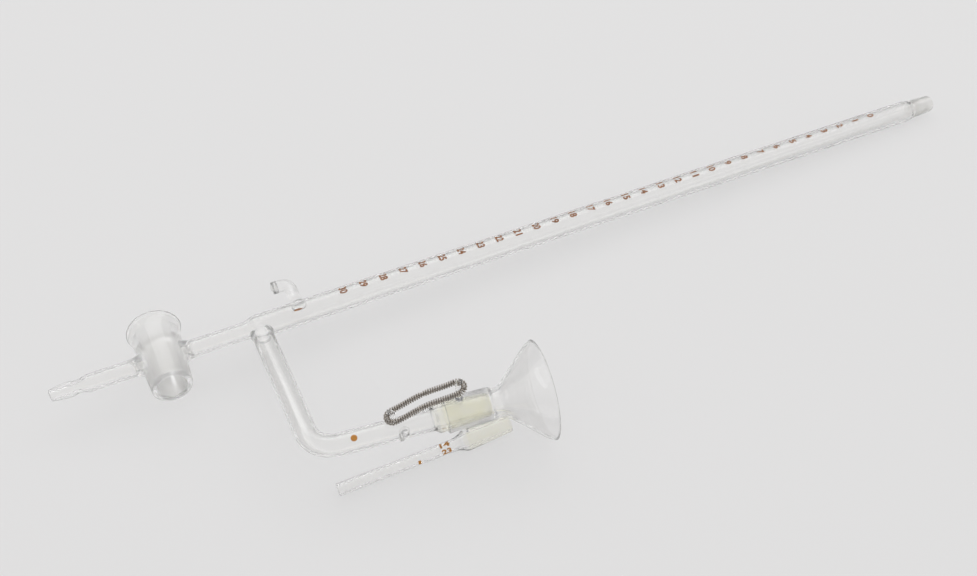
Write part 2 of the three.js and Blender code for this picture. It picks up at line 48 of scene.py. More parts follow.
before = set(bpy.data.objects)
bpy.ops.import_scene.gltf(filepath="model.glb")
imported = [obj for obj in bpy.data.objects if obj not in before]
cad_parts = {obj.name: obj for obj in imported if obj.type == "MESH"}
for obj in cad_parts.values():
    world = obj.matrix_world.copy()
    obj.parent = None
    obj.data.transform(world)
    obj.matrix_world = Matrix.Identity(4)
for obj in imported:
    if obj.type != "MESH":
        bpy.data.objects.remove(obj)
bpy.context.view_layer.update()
MM = 0.001
GLASS_IOR = 1.473
MARK_LIFT = 0.05  # Height of the enamel over the glass, in millimetres


def placed(x_axis, y_axis, z_axis, origin):
    """The matrix from a glass frame in millimetres to the row frame in metres."""
    turn = Matrix((x_axis, y_axis, z_axis)).transposed().to_4x4()
    return Matrix.Translation(Vector(origin) * MM) @ turn @ Matrix.Scale(MM, 4)


BURETTE = placed(
    (0.9997631, 0, -0.0217634), (-0.0026073, 0.9927980, -0.1197720),
    (0.0216067, 0.1198004, 0.9925629), (226.8769, 51.0011, 7.0871))
ARM = placed(
    (0.9930390, -0.1175512, -0.0074288), (0.1157870, 0.9858142, -0.1215063),
    (0.0216067, 0.1198004, 0.9925629), (-165.2924, -39.5421, 26.5524))
LOOSE_CONE = placed(
    (0.9991719, -0.0244192, 0.0325444), (0.0244322, 0.9997015, 0),
    (-0.0325347, 0.0007951, 0.9994703), (-159.8169, -50.6175, 3.2569))

# Places in the burette's frame, in millimetres: +X towards the open top, 0 at the zero mark
DIVISION = 11.5
DIVISIONS = 30
TUBE_R, TUBE_BORE = 6.45, 5.25
MOUTH_END, MOUTH_GROUND_FROM = 46.9, 32.4
NARROW_R, NARROW_BORE = 4.7, 3.2
ARM_X = -392.5
TIP_START, TIP_LENGTH, TIP_END = -481.8, 19, -500.8
HOOK_X, HOOK_OUT, HOOK_REACH = ARM_X + 23.6, 24.4, 9.8

# The stopcock barrel lies across the tube, and its ends count from the tube's middle line
BARREL_X = -443.6
BARREL_SMALL_END, BARREL_BODY_END, BARREL_LARGE_END = -21.6, 17.9, 22.1
BARREL_GROUND_R, BARREL_GROUND_TO = 11.5, 21.4

# Places in the arm's frame: the elbow's corner is 0, +X towards the funnel
ARM_DROP = 91.2
ARM_BEND = 14
ARM_SPLAY = math.radians(6.8)
ARM_R, ARM_BORE, ARM_ROOT_BORE = 5.6, 4.4, 3.9
ARM_TURNED = 80  # Drop below which the arm has turned towards the funnel
CONE_FROM, CONE_GROUND_FROM, CONE_EDGE, ARM_END = 57.5, 60.5, 86, 87
CONE_R, CONE_PLAY, TAPER = 7.4, 0.15, 0.05
JOINT_START = 64.8
RIM_AT, RIM_R = 115.3, 25.7
ARM_HOOK_AT, ARM_HOOK_NEAR_AT = 39.8, 43.5
ARM_HOOK_TURN, ARM_HOOK_NEAR_TURN = math.radians(80), math.radians(153)
FUNNEL_HOOK_AT, FUNNEL_HOOK_TURN = 72.8, math.radians(80)
SPRING_ARM_OUT, SPRING_FUNNEL_OUT = 8.4, 15.4
SPRING_END_R, SPRING_SEAT, SPRING_BOW = 3.6, 0.45, 1.3
SPRING_FACING = math.radians(92)

# Places in the loose cone's frame: +X from the stem's open end to the cone's
STEM_R, STEM_BORE = 3.25, 2
STEM_LENGTH, SHOULDER_LENGTH, LOOSE_CONE_LENGTH = 62.3, 5.3, 23.5
LOOSE_CONE_R, LOOSE_CONE_BORE = 5.45, 3.1

# The stage, in metres
LAMP_AIM = (-0.05, 0, 0)
CAMERA_AT, CAMERA_AIM = (-0.20645, -0.32687, 0.49575), (-0.03979, 0.03545, 0)
CAMERA_SENSOR, CAMERA_LENS = 36, 42.04


# Meshes

def revolve(profile, segments, closed=False):
    """A mesh turned about +X from (place, radius) pairs, a solid unless it is closed on itself."""
    mesh = bmesh.new()
    rings = []
    for place, radius in profile:
        if radius <= 1e-6:
            rings.append([mesh.verts.new((place, 0, 0))])
            continue
        rings.append([
            mesh.verts.new((place, radius * math.cos(a), radius * math.sin(a)))
            for a in (2 * math.pi * k / segments for k in range(segments))])
    pairs = list(zip(rings, rings[1:] + ([rings[0]] if closed else [])))
    for low, high in pairs[:len(rings) if closed else len(rings) - 1]:
        join_rings(mesh, low, high)
    bmesh.ops.recalc_face_normals(mesh, faces=mesh.faces)
    return mesh


def join_rings(mesh, low, high):
    """Faces between two rings, either of which may be a single point."""
    count = max(len(low), len(high))
    for k in range(count):
        n = (k + 1) % count
        if len(low) == 1:
            mesh.faces.new((low[0], high[n], high[k]))
        elif len(high) == 1:
            mesh.faces.new((low[k], low[n], high[0]))
        else:
            mesh.faces.new((low[k], low[n], high[n], high[k]))


def swept(points, radii, segments):
    """A round rod along points, with its own radius at each and a point at both ends."""
    mesh = bmesh.new()
    normal = Vector((0, 0, 1))
    rings = [[mesh.verts.new(points[0])]]
    last = len(points) - 1
    for i, (point, radius) in enumerate(zip(points, radii)):
        tangent = (points[min(i + 1, last)] - points[max(i - 1, 0)]).normalized()
        normal = normal - tangent * normal.dot(tangent)
        if normal.length < 1e-4:
            normal = tangent.orthogonal()
        normal.normalize()
        side = tangent.cross(normal)
        rings.append([
            mesh.verts.new(point + radius * (math.cos(a) * normal + math.sin(a) * side))
            for a in (2 * math.pi * k / segments for k in range(segments))])
    rings.append([mesh.verts.new(points[-1])])
    for low, high in zip(rings, rings[1:]):
        join_rings(mesh, low, high)
    bmesh.ops.recalc_face_normals(mesh, faces=mesh.faces)
    return mesh


def rod_path(points, bend, step, tip, root, radius):
    """Points and radii of a bent glass rod: a rounded corner, a domed tip and a flared root."""
    bend_steps, dome_steps = 14, 8
    start, corner, end = (Vector(p) for p in points)
    back = corner + (start - corner).normalized() * bend
    ahead = corner + (end - corner).normalized() * bend
    line = []
    count = max(2, int((back - start).length / step))
    line += [start.lerp(back, k / count) for k in range(count)]
    line += [
        back.lerp(corner, t).lerp(corner.lerp(ahead, t), t)
        for t in (k / bend_steps for k in range(bend_steps))]
    count = max(2, int((end - ahead).length / step))
    line += [ahead.lerp(end, k / count) for k in range(count)]
    dome = [k / dome_steps for k in range(dome_steps + 1)]
    way = (end - ahead).normalized()
    radii = [radius + root * math.exp(-((p - start).length / (0.45 * radius + root)) ** 2)
             for p in line]
    line += [end - way * radius * (1 + tip) * (1 - math.sin(t * math.pi / 2)) for t in dome]
    radii += [max(0.02, radius * (1 + tip) * math.cos(t * math.pi / 2)) for t in dome]
    kept = [(line[0], radii[0])]
    for point, r in zip(line[1:], radii[1:]):
        if (point - kept[-1][0]).length > 0.02 and (point - kept[-1][0]).dot(way) > -radius:
            kept.append((point, r))
    return [p for p, _ in kept], [r for _, r in kept]


def rounded_end(place, outer, inner, side):
    """Outline of a fire-polished end: its outer half to the edge, and its inner half from there."""
    steps = 6
    edge = (outer - inner) * 0.45
    arc = [math.pi / 2 * k / steps for k in range(steps + 1)]
    over = [(place - side * edge * (1 - math.sin(a)), outer - edge * (1 - math.cos(a)))
            for a in arc]
    back = [(place - side * edge * (1 - math.cos(a)), inner + edge * (1 - math.sin(a)))
            for a in arc]
    return over, back


def fused(name, solids, tools, matrix):
    """One mesh from several solids grown together, with the bores cut out of it."""
    objects = []
    for k, mesh in enumerate([*solids, *tools]):
        objects.append(piece(f"{name}_{k}", finished(f"{name}_{k}", mesh)))
    for k, obj in enumerate(objects[1:], 1):
        step = objects[0].modifiers.new(f"fuse_{k}", "BOOLEAN")
        step.operation = "UNION" if k < len(solids) else "DIFFERENCE"
        step.solver = "MANIFOLD"
        step.object = obj
    bpy.context.view_layer.update()
    depsgraph = bpy.context.evaluated_depsgraph_get()
    data = bpy.data.meshes.new_from_object(objects[0].evaluated_get(depsgraph))
    for obj in objects:
        bpy.data.objects.remove(obj)
    if not data.polygons:
        raise RuntimeError(f"{name}: the glass came out empty")
    data.name = name
    data.transform(matrix)
    return piece(name, data)


def finished(name, mesh):
    """The mesh data of a mesh that has been built."""
    data = bpy.data.meshes.new(name)
    mesh.to_mesh(data)
    mesh.free()
    return data


def piece(name, data):
    """An object in the scene: a piece of glass, a lamp or the camera."""
    obj = bpy.data.objects.new(name, data)
    bpy.context.scene.collection.objects.link(obj)
    return obj


def smooth(obj, angle=32):
    """Smooth shading, with sharp edges kept above an angle in degrees."""
    obj.data.polygons.foreach_set("use_smooth", [True] * len(obj.data.polygons))
    obj.data.set_sharp_from_angle(angle=math.radians(angle))


def dress(obj, materials, choose, matrix):
    """Gives each face the material whose number choose returns for its middle and its normal."""
    back = matrix.inverted()
    turn = back.to_3x3().normalized()
    obj.data.materials.clear()
    for material in materials:
        obj.data.materials.append(material)
    for face in obj.data.polygons:
        face.material_index = choose(back @ face.center, turn @ face.normal)


# Shader expressions

class Value:
    """A socket in a node tree. Its products, and other operations by name, add Math nodes."""

    def __init__(self, graph, socket):
        self.graph = graph
        self.socket = socket

    def math(self, operation, other):
        return self.graph.add("ShaderNodeMath", {"operation": operation}, {0: self, 1: other})

    def __mul__(self, other):
        return self.math("MULTIPLY", other)

    __rmul__ = __mul__


class Graph:
    """The nodes of one material or world, made from an empty tree."""

    def __init__(self, owner):
        owner.use_nodes = True
        self.tree = owner.node_tree
        self.tree.nodes.clear()

    def add(self, kind, settings=None, sockets=None, output=0):
        """Adds a node: its settings first, then the values and links of its sockets."""
        node = self.tree.nodes.new(kind)
        for key, value in (settings or {}).items():
            if key == "stops":
                ramp = node.color_ramp.elements
                while len(ramp) < len(value):
                    ramp.new(0.5)
                for element, (place, colour) in zip(ramp, value):
                    element.position = place
                    element.color = (*colour, 1)
            else:
                setattr(node, key, value)
        for key, value in (sockets or {}).items():
            if isinstance(value, Value):
                self.tree.links.new(value.socket, node.inputs[key])
            else:
                node.inputs[key].default_value = value
        return Value(self, node.outputs[output]) if len(node.outputs) else None

    def position(self):
        return self.add("ShaderNodeTexCoord", output="Object")

    def noise(self, scale, detail, stretch=(1, 1, 1)):
        """Noise over the piece, in row millimetres, from 0 to 1."""
        place = self.add("ShaderNodeVectorMath", {"operation": "MULTIPLY"},
                         {0: self.position(), 1: [1000 * s for s in stretch]})
        return self.add("ShaderNodeTexNoise", None,
                        {"Vector": place, "Scale": scale, "Detail": detail}, "Fac")

    def spread(self, value, low, high):
        """Takes 0.3 to 0.7 of a noise to low and high."""
        return self.add("ShaderNodeMapRange", None,
                        {"Value": value, "From Min": 0.3, "From Max": 0.7,
                         "To Min": low, "To Max": high})

    def mix(self, factor, first, second):
        """Mixes two colours."""
        return self.add("ShaderNodeMix", {"data_type": "RGBA"},
                        {0: factor, 6: (*first, 1), 7: (*second, 1)}, 2)

    def bump(self, height, strength, distance):
        return self.add("ShaderNodeBump", None,
                        {"Height": height, "Strength": strength, "Distance": distance})

    def principled(self, sockets):
        shader = self.add("ShaderNodeBsdfPrincipled", None, sockets)
        self.add("ShaderNodeOutputMaterial", None, {"Surface": shader})


def clear_glass(name, tint):
    """Drawn glass: nearly clean, with faint wipe marks and the waviness of a drawn tube."""
    material = bpy.data.materials.new(name)
    g = Graph(material)
    smear = g.noise(0.35, 4)
    draw = g.noise(0.16, 2, (0.12, 1, 1))
    pale = tuple(min(1.0, c * 1.015) for c in tint)
    g.principled({
        "Base Color": g.mix(smear, tint, pale),
        "Roughness": g.spread(smear, 0.004, 0.03),
        "IOR": GLASS_IOR,
        "Transmission Weight": 1.0,
        "Alpha": 0.88,
        "Normal": g.bump(draw, 0.01, 0.0005),
    })
    return material


def ground_glass(name, tint, stain, low, high, body=1.0):
    """Ground glass: an even fine grain, a little stained, and thinner with a lower body."""
    material = bpy.data.materials.new(name)
    g = Graph(material)
    patch = g.noise(0.22, 3)
    grain = g.noise(6.0, 2)
    g.principled({
        "Base Color": g.mix(g.spread(patch, 0, 1), tint, stain),
        "Roughness": g.spread(patch, low, high),
        "IOR": GLASS_IOR,
        "Transmission Weight": 1.0,
        "Alpha": body,
        "Normal": g.bump(grain, 0.25, 0.00008),
    })
    return material


def amber_enamel(name, colour, dark):
    """Fired amber enamel, thinner and paler in patches."""
    material = bpy.data.materials.new(name)
    g = Graph(material)
    wear = g.noise(0.9, 3)
    g.principled({
        "Base Color": g.mix(g.spread(wear, 0, 1), dark, colour),
        "Roughness": g.spread(wear, 0.35, 0.6),
    })
    return material


def spring_steel(name, colour):
    """Drawn wire with a dull oxide film that comes and goes."""
    material = bpy.data.materials.new(name)
    g = Graph(material)
    film = g.noise(0.5, 4)
    dark = tuple(c * 0.55 for c in colour)
    g.principled({
        "Base Color": g.mix(g.spread(film, 0, 1), dark, colour),
        "Roughness": g.spread(film, 0.24, 0.42),
        "Metallic": 1.0,
    })
    return material


# Sizes and colours that a user would change

class BuretteGlass(bpy.types.PropertyGroup):
    segments: bpy.props.IntProperty(
        name="Roundness", description="Sides of each turned piece", default=96, min=24, max=256)
    tint: bpy.props.FloatVectorProperty(
        name="Glass", description="Colour of the clear glass", subtype="COLOR",
        default=(0.993, 0.990, 0.982))
    ground: bpy.props.FloatVectorProperty(
        name="Ground glass", description="Colour of the ground joint", subtype="COLOR",
        default=(0.998, 0.994, 0.94))
    grease: bpy.props.FloatVectorProperty(
        name="Grease", description="Colour of the greased part of the ground joint",
        subtype="COLOR", default=(0.992, 0.983, 0.865))


class BuretteScale(bpy.types.PropertyGroup):
    figure_height: bpy.props.FloatProperty(
        name="Figure height", description="Height of a figure along the tube",
        default=4.4 * MM, unit="LENGTH")
    figure_width: bpy.props.FloatProperty(
        name="Figure width", description="Width of two figures across the tube",
        default=4.3 * MM, unit="LENGTH")
    line: bpy.props.FloatProperty(
        name="Line", description="Thickness of a division line", default=0.13 * MM, unit="LENGTH")
    colour: bpy.props.FloatVectorProperty(
        name="Enamel", description="Colour of the scale", subtype="COLOR",
        default=(0.36, 0.135, 0.035))
    dark: bpy.props.FloatVectorProperty(
        name="Thick enamel", description="Colour where the enamel is thick", subtype="COLOR",
        default=(0.17, 0.06, 0.018))


class BuretteSpring(bpy.types.PropertyGroup):
    turns: bpy.props.IntProperty(
        name="Turns", description="Turns of the endless spring", default=75, min=60, max=400)
    wire: bpy.props.FloatProperty(
        name="Wire", description="Radius of the wire", default=0.36 * MM, unit="LENGTH")
    coil: bpy.props.FloatProperty(
        name="Coil", description="Radius of the coil, to the wire's middle",
        default=1.2 * MM, unit="LENGTH")
    colour: bpy.props.FloatVectorProperty(
        name="Wire colour", description="Colour of the clean wire", subtype="COLOR",
        default=(0.56, 0.51, 0.46))


class BuretteStage(bpy.types.PropertyGroup):
    table: bpy.props.FloatVectorProperty(
        name="Table", description="Colour of the table", subtype="COLOR",
        default=(0.76, 0.755, 0.755))
    seen: bpy.props.FloatVectorProperty(
        name="Table as seen", description="Even colour that the lit table is mixed with",
        subtype="COLOR", default=(0.775, 0.77, 0.77))
    evenness: bpy.props.FloatProperty(
        name="Evenness", description="Share of the even colour, which softens shadows",
        default=0.75, min=0, max=1)
    key: bpy.props.FloatProperty(
        name="Key light", description="Power of the long lamp at the back", default=7.0)
    fill: bpy.props.FloatProperty(
        name="Fill light", description="Power of each narrow lamp", default=0.4)
    sky: bpy.props.FloatProperty(
        name="Surround", description="Strength of the surround", default=1.0)


# Pieces

def barrel_solids(segments):
    """The stopcock barrel and the hollow that is cut from it, laid across the tube."""
    small_over, small_back = rounded_end(BARREL_SMALL_END, 10.5, 7, -1)
    large_over, large_back = rounded_end(BARREL_LARGE_END, 14.2, 11.9, 1)
    outer = [(BARREL_SMALL_END, 0), *reversed(small_over), (BARREL_BODY_END - 5, 12.25),
             (BARREL_BODY_END, 12.9), (20.4, 13.6), *large_over, (BARREL_LARGE_END, 0)]
    inner = [(-24, 0), (-24, small_back[0][1]), *small_back, (BARREL_BODY_END, 9.4),
             *reversed(large_back), (24, large_back[0][1]), (24, 0)]
    across = Matrix.Translation((BARREL_X, 0, 0)) @ Matrix.Rotation(math.pi / 2, 4, "Z")
    solids = [revolve(outer, segments), revolve(inner, segments)]
    for solid in solids:
        solid.transform(across)
    return solids


def tube_outline():
    """Outside of the whole straight tube, from the tip to the ground mouth."""
    tip = [(TIP_END, 0), (TIP_END, 2.3), (TIP_END + 0.3, 2.85), (TIP_END + 0.9, 3.1)]
    for share, radius in ((0.9, 3.3), (0.75, 3.75), (0.62, 4.1), (0.52, 4.22), (0.46, 4.15),
                          (0.38, 3.75), (0.3, 3.5), (0.22, 3.5), (0.14, 3.8), (0.06, 4.4)):
        tip.append((TIP_START - TIP_LENGTH * share, radius))
    low = [(TIP_START, 4.68), (-470, NARROW_R), (-460, NARROW_R), (-457.4, 4.95), (-455.8, 5.6),
           (-454.6, 6.4), (-453, 6.6), (-434, 6.6), (-432.6, 6.4), (-431.4, 5.6),
           (-429.8, 4.95), (-427.2, NARROW_R), (-415, NARROW_R), (-400.5, NARROW_R),
           (-399.2, 4.85), (-397.6, 5.3), (-395.6, 6.0), (-394, 6.35), (-392.6, TUBE_R)]
    runs = [(x, TUBE_R) for x in (-380, -300, -200, -100, 0, 26)]
    mouth = [(28.6, 6.42), (29.8, 6.2), (31, 5.8), (32.2, 5.62), (33.4, 5.55),
             (45.6, 4.96), (46.3, 4.86), (46.75, 4.6), (MOUTH_END, 4.3), (MOUTH_END, 0)]
    return tip + low + runs + mouth


def tube_bore():
    """The bore of the straight tube, narrow through the walls of the barrel."""
    return [(TIP_END - 2, 0), (TIP_END - 2, 2.1), (TIP_END, 2.1), (TIP_END + 0.5, 1.7),
            (-486, 1.75), (-483, 2.6), (-481, 3.15), (-478, NARROW_BORE), (-460, NARROW_BORE),
            (-457.4, 2.8), (-456.2, 2.1), (-455.4, 2.0), (-432, 2.0), (-431, 2.1),
            (-429.8, 2.8), (-427.2, NARROW_BORE), (-400.5, NARROW_BORE), (-398.2, 3.5),
            (-396, 4.4), (-394, 5.1), (-392, TUBE_BORE), (-200, TUBE_BORE), (26, TUBE_BORE),
            (28.6, 5.15), (30, 4.7), (31.4, 4.1), (32.8, 3.9), (46.2, 3.9), (MOUTH_END, 4.15),
            (MOUTH_END + 2, 4.15), (MOUTH_END + 2, 0)]


def arm_path(extra_end):
    """Middle line of the side arm in the burette's frame, from the tube to the cone's end."""
    tangent = ARM_BEND * math.tan((math.pi / 2 - ARM_SPLAY) / 2)
    turn = math.pi / 2 - ARM_SPLAY
    points = [Vector((ARM_X, -y, 0)) for y in
              (0, 3, 5, 6.2, 6.8, 7.4, 8.2, 9.2, 10.6, 14, 30, 55, ARM_DROP - tangent - 2)]
    centre = Vector((ARM_X + ARM_BEND, -ARM_DROP + tangent, 0))
    for k in range(25):
        a = math.pi + turn * k / 24
        points.append(centre + Vector((math.cos(a), math.sin(a), 0)) * ARM_BEND)
    way = Vector((math.cos(ARM_SPLAY), -math.sin(ARM_SPLAY), 0))
    corner = Vector((ARM_X, -ARM_DROP, 0))
    for s in (tangent + 2, 30, 45, 57, 58.5, 59.6, 60.8, 61.6, 70, 80, 85.6, 86.4, 86.8,
              ARM_END):
        points.append(corner + way * s)
    if extra_end:
        points.append(corner + way * (ARM_END + extra_end))
    return points, corner, way


def arm_radius(down, along):
    """Outside radius of the arm, flared at its root and widened into the ground cone."""
    if along > CONE_FROM and down > ARM_TURNED:
        cone = CONE_R - TAPER * (along - JOINT_START) - CONE_PLAY
        share = min(1, max(0, (along - 58) / 3.2))
        share = share * share * (3 - 2 * share)
        radius = ARM_R + (cone - ARM_R) * share
        return radius - 0.55 * (along - CONE_EDGE) ** 2 if along > CONE_EDGE else radius
    return ARM_R + (0.7 * math.exp(-((down - 6) / 1.9) ** 2) if down > 6 else 0.4)


def arm_bore_radius(down, along):
    """Radius of the arm's bore, narrow at its root and wider inside the ground cone."""
    if along > CONE_FROM and down > ARM_TURNED:
        if along > 86.2:
            return 5.2
        return min(4.8, ARM_BORE + 0.4 * min(1, (along - CONE_FROM) / 3))
    if down < 9:
        return ARM_ROOT_BORE
    return min(ARM_BORE, ARM_ROOT_BORE + 0.5 * (down - 9) / 6)


def arm_radii(points, corner, way, radius):
    """What radius returns for each point's drop and its distance along the arm's run."""
    return [radius(-point.y, (point - corner).dot(way)) for point in points]


def horn(at, base, top, turn, lean, radius=1.2, tip=2.6):
    """A short glass horn grown from the wall, its tip bent away, in the arm's frame."""
    points, radii = rod_path(
        [(at, base, 0), (at, top, 0), (at + lean * (tip + 0.2), top, 0)], tip * 0.7,
        step=0.4, tip=0.06, root=0.9, radius=radius)
    rod = swept(points, radii, 28)
    bmesh.ops.rotate(rod, verts=rod.verts, matrix=Matrix.Rotation(turn, 3, "X"))
    return rod


class BURETTE_OT_glass(bpy.types.Operator):
    """Grow the tube, barrel, tip, hooks and side arm together as one piece of glass"""
    bl_idname = "burette.glass"
    bl_label = "Burette Glass"

    def execute(self, context):
        look = context.scene.burette_glass
        barrel, hollow = barrel_solids(look.segments)
        points, corner, way = arm_path(0)
        arm = swept(points, arm_radii(points, corner, way, arm_radius), 72)
        inner, _, _ = arm_path(2)
        arm_bore = swept(inner, arm_radii(inner, corner, way, arm_bore_radius), 72)
        hook_points, hook_radii = rod_path(
            [(HOOK_X, 5.85, 0), (HOOK_X, HOOK_OUT, 0), (HOOK_X - HOOK_REACH, HOOK_OUT, 0)], 5.5,
            step=0.8, tip=0.05, root=0.9, radius=3.35)
        hook = swept(hook_points, hook_radii, 48)
        to_burette = BURETTE.inverted() @ ARM
        horns = [
            horn(ARM_HOOK_AT, 5.0, 11.55, ARM_HOOK_TURN, -1),
            horn(ARM_HOOK_NEAR_AT, 5.0, 10.6, ARM_HOOK_NEAR_TURN, -1, 1.8, 3.6)]
        for rod in horns:
            rod.transform(to_burette)
        obj = fused(
            "burette_glass",
            [revolve(tube_outline(), look.segments), barrel, arm, hook, *horns],
            [revolve(tube_bore(), look.segments), hollow, arm_bore], BURETTE)
        smooth(obj)
        to_arm = ARM.inverted() @ BURETTE

        def choose(middle, normal):
            if middle.x > MOUTH_GROUND_FROM and middle.yz.length > 4.4:
                return 1
            beside = to_arm @ middle
            if beside.x > CONE_GROUND_FROM and middle.y < -ARM_TURNED and beside.yz.length > 5.4:
                return 2
            across = Vector((middle.x - BARREL_X, middle.z))
            inside = across.length < BARREL_GROUND_R and abs(middle.y) < BARREL_GROUND_TO
            return 3 if inside and Vector((normal.x, normal.z)).dot(across) < 0 else 0

        dress(obj, [
            bpy.data.materials["drawn_glass"], bpy.data.materials["ground_mouth_glass"],
            bpy.data.materials["ground_joint_glass"], bpy.data.materials["ground_barrel_glass"],
        ], choose, BURETTE)
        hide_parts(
            "ground_mouth", "graduated_tube", "t_piece", "link_tube",
            "barrel_collar_upper", "stopcock_barrel", "barrel_collar_lower", "outlet_tube",
            "outlet_tip", "tube_hook", "arm_drop", "arm_elbow", "arm_run", "arm_cone",
            "arm_hook_far", "arm_hook_near")
        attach(obj, "burette")
        return {"FINISHED"}


class BURETTE_OT_funnel(bpy.types.Operator):
    """Turn the filling funnel with its ground socket and two horns"""
    bl_idname = "burette.funnel"
    bl_label = "Filling Funnel"

    def execute(self, context):
        look = context.scene.burette_glass
        start, neck_r, neck_bore, wall = 91.9, 7.3, 5.0, 1.5
        length = RIM_AT - start
        flare = [(0.04, 0.015), (0.1, 0.06), (0.2, 0.16), (0.35, 0.33), (0.5, 0.5),
                 (0.68, 0.71), (0.84, 0.885), (0.97, 0.985)]
        outer = [(JOINT_START, 8.3), (65.1, 8.75), (65.7, 8.9), (66.3, 8.7), (67, 8.5),
                 (86.5, 8.5), (88, 8.35), (89.6, 7.75), (91, 7.32)]
        outer += [(start + length * a, neck_r + (RIM_R - neck_r) * b) for a, b in flare]
        bead = [(RIM_AT - 0.25, RIM_R - 0.1), (RIM_AT, RIM_R - 0.55), (RIM_AT, RIM_R - 1.1),
                (RIM_AT - 0.35, RIM_R - wall)]
        inner = [(start + length * a, neck_bore + (RIM_R - wall - neck_bore) * b)
                 for a, b in reversed(flare)]
        inner += [(91, neck_bore), (89.6, 5.05), (88.6, 5.4), (87.8, 6.0), (87.3, 6.28),
                  (JOINT_START + 0.5, 7.37), (JOINT_START, 7.8)]
        body = revolve(outer + bead + inner, look.segments * 4 // 3, closed=True)
        horns = [
            horn(FUNNEL_HOOK_AT, 7.95, 18.55, FUNNEL_HOOK_TURN, 1),
            horn(FUNNEL_HOOK_AT, 7.95, 12.2, FUNNEL_HOOK_TURN + math.pi, 1, 1.3, 2.8)]
        obj = fused("funnel_glass", [body, *horns], (), ARM)
        smooth(obj)

        def choose(middle, normal):
            inside = middle.yz.length < 7.75 and normal.yz.dot(middle.yz) < 0
            return 1 if inside and JOINT_START < middle.x < 87.5 else 0

        dress(obj, [bpy.data.materials["drawn_glass"],
                    bpy.data.materials["ground_joint_glass"]], choose, ARM)
        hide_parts("funnel_socket", "funnel_neck", "funnel_bowl",
                    "funnel_hook_far", "funnel_hook_near")
        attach(obj, "funnel")
        return {"FINISHED"}


class BURETTE_OT_loose_cone(bpy.types.Operator):
    """Turn the loose stemmed cone that lies beside the arm"""
    bl_idname = "burette.loose_cone"
    bl_label = "Loose Stemmed Cone"

    def execute(self, context):
        look = context.scene.burette_glass
        end = STEM_LENGTH + SHOULDER_LENGTH + LOOSE_CONE_LENGTH
        end_r = LOOSE_CONE_R - TAPER * LOOSE_CONE_LENGTH
        stem_over, stem_back = rounded_end(0, STEM_R, STEM_BORE, -1)
        cone_over, cone_back = rounded_end(end, end_r, LOOSE_CONE_BORE, 1)
        outline = [*reversed(stem_over), (30, STEM_R), (60.5, STEM_R), (62.6, 3.5), (64.6, 4.3),
                   (66.2, 5.1), (67.6, LOOSE_CONE_R), *cone_over, *cone_back,
                   (80, LOOSE_CONE_BORE), (67, LOOSE_CONE_BORE), (64.5, 2.6),
                   (STEM_LENGTH, 2.05), (40, STEM_BORE), *reversed(stem_back)]
        obj = fused("loose_cone_glass", [revolve(outline, look.segments, closed=True)], (),
                    LOOSE_CONE)
        smooth(obj)

        def choose(middle, _):
            return 1 if middle.x > 67.5 and middle.yz.length > 3.9 else 0

        dress(obj, [bpy.data.materials["drawn_glass"],
                    bpy.data.materials["ground_joint_glass"]], choose, LOOSE_CONE)
        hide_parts("adaptor_stem", "adaptor_shoulder", "adaptor_cone")
        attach(obj, "adaptor")
        return {"FINISHED"}


def spring_line():
    """The spring's middle line by distance, its length, its flat side and its two ends."""

    def radial(at, out, turn):
        return Vector((at, out * math.cos(turn), out * math.sin(turn)))

    first = radial(ARM_HOOK_AT + SPRING_SEAT, SPRING_ARM_OUT, ARM_HOOK_TURN)
    second = radial(FUNNEL_HOOK_AT - SPRING_SEAT, SPRING_FUNNEL_OUT, FUNNEL_HOOK_TURN)
    span = (second - first).length
    ahead = (second - first).normalized()
    facing = Vector((0, math.cos(SPRING_FACING), math.sin(SPRING_FACING)))
    flat = (facing - ahead * facing.dot(ahead)).normalized()
    across = flat.cross(ahead)
    half = math.pi * SPRING_END_R
    total = 2 * span + 2 * half

    def at(along, up):
        return first + ahead * along + across * up

    def bow(share):
        return SPRING_BOW * math.sin(math.pi * share) ** 2

    def point(distance):
        s = distance % total
        if s < span / 2:
            return at(span / 2 + s, SPRING_END_R + bow(0.5 + s / span))
        if s < span / 2 + half:
            a = math.pi / 2 - (s - span / 2) / SPRING_END_R
            return at(span + SPRING_END_R * math.cos(a), SPRING_END_R * math.sin(a))
        if s < 1.5 * span + half:
            left = span - (s - span / 2 - half)
            return at(left, bow(left / span) - SPRING_END_R)
        if s < 1.5 * span + 2 * half:
            a = -math.pi / 2 - (s - 1.5 * span - half) / SPRING_END_R
            return at(SPRING_END_R * math.cos(a), SPRING_END_R * math.sin(a))
        left = s - 1.5 * span - 2 * half
        return at(left, SPRING_END_R + bow(left / span))

    return point, total, flat, first, second


